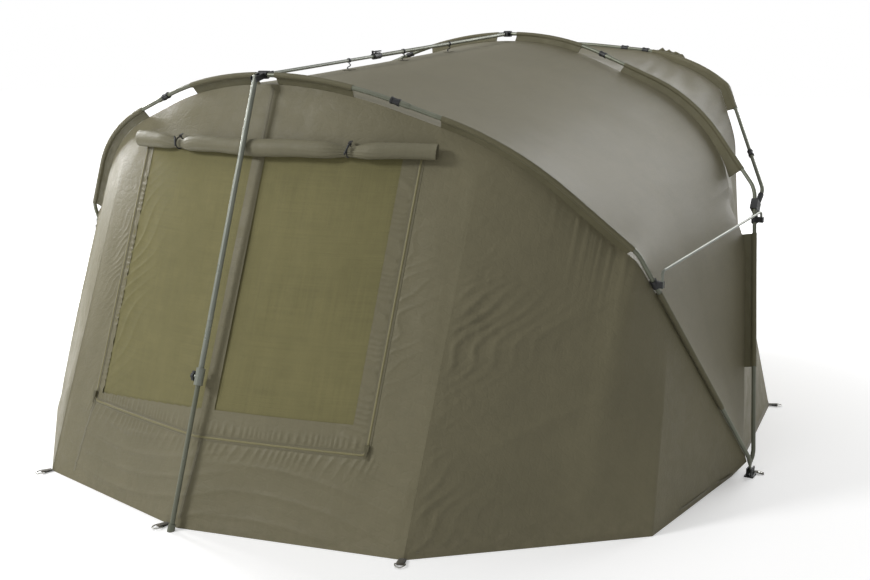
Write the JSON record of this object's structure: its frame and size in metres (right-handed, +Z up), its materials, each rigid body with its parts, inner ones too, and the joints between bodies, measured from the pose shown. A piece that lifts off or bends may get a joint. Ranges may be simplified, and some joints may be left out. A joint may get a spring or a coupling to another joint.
{
  "type": "bivvy tent",
  "caption": "Domed fishing bivvy on hooped ribs that fold from common feet, with tension bars, a ridge bar, a storm pole and a zipped front window panel.",
  "frame": {"origin": "on the ground, under the middle of the part's outline", "axes": "+Z up; +Y from the door wall at the front to the rear wall; +X to the right seen from the front"},
  "size_m": [3.028, 3.2552, 1.6415],
  "materials": {
    "rib_paint": "satin green-grey paint",
    "black_moulding": "moulded, slightly rough",
    "bright_steel": "bright plated steel",
    "canopy_cloth": "coated ripstop weave",
    "sleeve_cloth": "coated woven cloth",
    "window_mesh": "fine woven mesh",
    "zip_tape": "woven tape with coil teeth",
    "webbing": "flat woven webbing"
  },
  "bodies": {
    "frame": {"centre_crown": "rib_paint", "centre_hub": "black_moulding", "centre_sleeve_crown": "sleeve_cloth", "roof": "canopy_cloth", "hood": "canopy_cloth", "rear_wall": "canopy_cloth", "centre_leg_right": "rib_paint", "centre_leg_left": "rib_paint", "pivot_block_right": "black_moulding", "pivot_block_left": "black_moulding", "bar_collar_right": "black_moulding", "bar_collar_left": "black_moulding", "foot_right": "black_moulding", "foot_left": "black_moulding", "centre_sleeve_right": "sleeve_cloth", "centre_sleeve_left": "sleeve_cloth", "centre_leg_sleeve_right": "sleeve_cloth", "centre_leg_sleeve_left": "sleeve_cloth", "side_right": "canopy_cloth", "side_left": "canopy_cloth", "rear_side_right": "canopy_cloth", "rear_side_left": "canopy_cloth"},
    "front_rib": {"front_crown": "rib_paint", "front_hub": "black_moulding", "front_sleeve_crown": "sleeve_cloth", "front_panel": "canopy_cloth", "window": "window_mesh", "zip_tape": "zip_tape", "flap_roll": "canopy_cloth", "tab_front": "webbing", "front_leg_right": "rib_paint", "front_leg_left": "rib_paint", "bar_clip_right": "black_moulding", "bar_clip_left": "black_moulding", "front_sleeve_right": "sleeve_cloth", "front_sleeve_left": "sleeve_cloth", "front_leg_sleeve_right": "sleeve_cloth", "front_leg_sleeve_left": "sleeve_cloth", "corner_right": "canopy_cloth", "corner_left": "canopy_cloth", "tab_right": "webbing", "tab_left": "webbing"},
    "rear_rib": {"rear_tube": "rib_paint", "rear_end_right": "black_moulding", "rear_end_left": "black_moulding", "rear_sleeve": "sleeve_cloth"},
    "bar_right": {"side_bar_right": "bright_steel"},
    "bar_left": {"side_bar_left": "bright_steel"},
    "ridge_bar": {"ridge_tube": "rib_paint", "ridge_clamp": "black_moulding"},
    "ridge_rod": {"ridge_rod": "rib_paint"},
    "ridge_lever": {"ridge_lever": "black_moulding"},
    "storm_pole": {"pole_upper": "rib_paint"},
    "pole_foot": {"pole_lower": "rib_paint"},
    "pole_knob": {"pole_knob": "black_moulding"},
    "zip_slider_right": {"zip_slider_right": "bright_steel"},
    "zip_slider_left": {"zip_slider_left": "bright_steel"},
    "ring_front": {"ring_front": "bright_steel"},
    "ring_right": {"ring_right": "bright_steel"},
    "ring_left": {"ring_left": "bright_steel"}
  },
  "joints": [
    {"name": "front_rib_fold", "type": "hinge", "parent": "frame", "child": "front_rib", "pos_m": [0, -0.13958, 0.02], "axis": [1, 0, 0], "range_deg": [-20, 0], "deforming": ["roof", "side_right", "side_left"]},
    {"name": "rear_rib_fold", "type": "hinge", "parent": "frame", "child": "rear_rib", "pos_m": [0, 0.41998, 0.92548], "axis": [1, 0, 0], "range_deg": [0, 20], "deforming": ["hood", "rear_wall"]},
    {"name": "side_bar_right_turn", "type": "hinge", "parent": "frame", "child": "bar_right", "pos_m": [1.35512, 0.36193, 0.88515], "axis": [0, 0, 1], "range_deg": [0, 60]},
    {"name": "side_bar_left_turn", "type": "hinge", "parent": "frame", "child": "bar_left", "pos_m": [-1.35512, 0.36193, 0.88515], "axis": [0, 0, 1], "range_deg": [-60, 0]},
    {"name": "ridge_bar_swing", "type": "hinge", "parent": "frame", "child": "ridge_bar", "pos_m": [0, 0.75836, 1.62439], "axis": [1, 0, 0], "range_deg": [-8, 0]},
    {"name": "ridge_rod_slide", "type": "slide", "parent": "ridge_bar", "child": "ridge_rod", "axis": [0, 0.9959, 0.0901], "range_m": [0, 0.56]},
    {"name": "ridge_lever_turn", "type": "hinge", "parent": "ridge_bar", "child": "ridge_lever", "pos_m": [0, -0.36426, 1.53988], "axis": [1, 0, 0], "range_deg": [0, 100]},
    {"name": "storm_pole_swing", "type": "hinge", "parent": "front_rib", "child": "storm_pole", "pos_m": [0, -1.0997, 1.44842], "axis": [1, 0, 0], "range_deg": [-75, 0]},
    {"name": "storm_pole_slide", "type": "slide", "parent": "storm_pole", "child": "pole_foot", "axis": [0, 0.328, 0.9447], "range_m": [0, 0.3]},
    {"name": "pole_knob_turn", "type": "hinge", "parent": "storm_pole", "child": "pole_knob", "pos_m": [-0.02055, -1.4351, 0.4824], "axis": [-1, 0, 0], "range_deg": [0, 180]},
    {"name": "zip_slider_right_run", "type": "slide", "parent": "front_rib", "child": "zip_slider_right", "axis": [0.0033, 0.3497, 0.9368], "range_m": [0, 0.9]},
    {"name": "zip_slider_left_run", "type": "slide", "parent": "front_rib", "child": "zip_slider_left", "axis": [-0.0033, 0.3497, 0.9368], "range_m": [0, 0.9]},
    {"name": "ring_front_lift", "type": "hinge", "parent": "front_rib", "child": "ring_front", "pos_m": [-0.0525, -1.60019, 0.0057], "axis": [-0.978, 0.2085, 0], "range_deg": [0, 150]},
    {"name": "ring_right_lift", "type": "hinge", "parent": "front_rib", "child": "ring_right", "pos_m": [0.78589, -1.44355, 0.0057], "axis": [-0.9439, -0.3304, 0], "range_deg": [0, 150]},
    {"name": "ring_left_lift", "type": "hinge", "parent": "front_rib", "child": "ring_left", "pos_m": [-0.78589, -1.44355, 0.0057], "axis": [-0.9439, 0.3304, 0], "range_deg": [0, 150]}
  ],
  "couplings": [
    {"joint": "side_bar_right_turn", "follows": "front_rib_fold", "ratio": -3},
    {"joint": "side_bar_left_turn", "follows": "front_rib_fold", "ratio": 3},
    {"joint": "ridge_bar_swing", "follows": "front_rib_fold", "ratio": 0.382},
    {"joint": "ridge_rod_slide", "follows": "front_rib_fold", "m_per_rad": -1.584}
  ]
}
